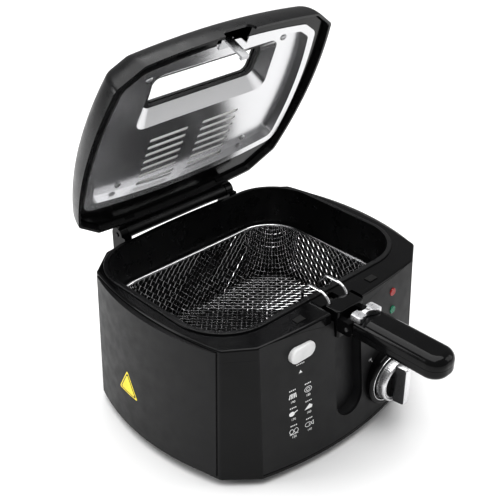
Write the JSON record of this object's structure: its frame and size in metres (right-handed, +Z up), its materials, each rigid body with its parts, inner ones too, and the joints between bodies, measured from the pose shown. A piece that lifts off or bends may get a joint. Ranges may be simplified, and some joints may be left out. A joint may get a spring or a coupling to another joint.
{
  "type": "deep fryer",
  "caption": "Cool-wall deep fryer with a hinged windowed lid, lift-out wire basket with a folding handle, thermostat knob and two indicator lamps.",
  "frame": {"origin": "on the resting plane, under the middle of the whole object's box, lid open and handle out", "axes": "+X to the right seen from the front, +Y towards the lid hinge at the back, +Z up"},
  "size_m": [0.3078, 0.3804, 0.3842],
  "materials": {
    "gloss_black": "gloss",
    "satin_black": "satin",
    "matte_black": "fine texture",
    "dark_moulding": "moulded",
    "pot_coating": "dark non-stick coating",
    "liner_metal": "brushed",
    "aluminium": "mill",
    "steel": "satin",
    "copper_tube": "satin",
    "chrome": "polished",
    "silver": "silver lacquer",
    "light_grey": "satin",
    "rubber": "matte",
    "filter_mat": "felt",
    "window": "clear",
    "red_lens": "translucent",
    "green_lens": "translucent"
  },
  "bodies": {
    "root": {"housing": "gloss_black", "rim_collar": "gloss_black", "side_panel_left": "matte_black", "side_panel_right": "matte_black", "front_panel": "matte_black", "handle_recess": "matte_black", "red_lamp_lens": "red_lens", "green_lamp_lens": "green_lens", "lamp_holder": "dark_moulding", "knob_surround": "gloss_black", "thermostat_body": "dark_moulding", "lid_rest_pads": "rubber", "oil_pot": "pot_coating", "heating_element": "steel", "thermostat_bulb": "copper_tube", "thermal_cutout": "dark_moulding", "heat_shield": "aluminium", "base_plate": "matte_black", "feet": "rubber", "base_screws": "steel", "cord_gland": "rubber", "terminal_block": "dark_moulding", "hinge_brackets": "gloss_black", "hinge_pins": "steel", "hinge_springs": "steel"},
    "lid": {"lid_shell": "satin_black", "lid_inner_frame": "gloss_black", "lid_liner": "liner_metal", "lid_screws": "steel", "lid_window": "window", "window_frame": "dark_moulding", "odour_filter": "filter_mat", "lid_catch": "steel"},
    "basket": {"basket_mesh": "chrome", "basket_rim_wire": "chrome", "bracket_wires": "chrome", "handle_bracket": "gloss_black", "handle_pin": "steel"},
    "handle": {"handle_upper": "gloss_black", "handle_lower": "gloss_black"},
    "slider": {"handle_slider": "silver"},
    "knob": {"thermostat_knob": "silver", "thermostat_shaft": "steel"},
    "button": {"release_button": "light_grey"},
    "latch": {"latch_lever": "dark_moulding"}
  },
  "joints": [
    {"name": "lid_hinge", "type": "hinge", "parent": "root", "child": "lid", "pos_m": [0, 0.17411, 0.1577], "axis": [1, 0, 0], "range_deg": [0, 64.3], "stiffness_Nm_per_rad": 0.4, "springref_deg": -74.48},
    {"name": "basket_lift", "type": "slide", "parent": "root", "child": "basket", "axis": [0, 0.0995, -0.995], "range_m": [-0.112, 0]},
    {"name": "handle_fold", "type": "hinge", "parent": "basket", "child": "handle", "pos_m": [0, -0.08819, 0.143], "axis": [1, 0, 0], "range_deg": [0, 90]},
    {"name": "handle_slider", "type": "slide", "parent": "handle", "child": "slider", "axis": [0, -1, 0], "range_m": [0, 0.005], "stiffness_N_per_m": 200, "springref_m": -0.002},
    {"name": "knob_turn", "type": "hinge", "parent": "root", "child": "knob", "pos_m": [0.055, -0.08219, 0.05], "axis": [0, 1, 0], "range_deg": [0, 270]},
    {"name": "button_press", "type": "slide", "parent": "root", "child": "button", "axis": [0, 1, 0], "range_m": [0, 0.004], "stiffness_N_per_m": 400, "springref_m": -0.001},
    {"name": "latch_move", "type": "slide", "parent": "root", "child": "latch", "axis": [0, 1, 0], "range_m": [0, 0.004]}
  ],
  "couplings": [
    {"joint": "latch_move", "follows": "button_press", "ratio": 1}
  ]
}
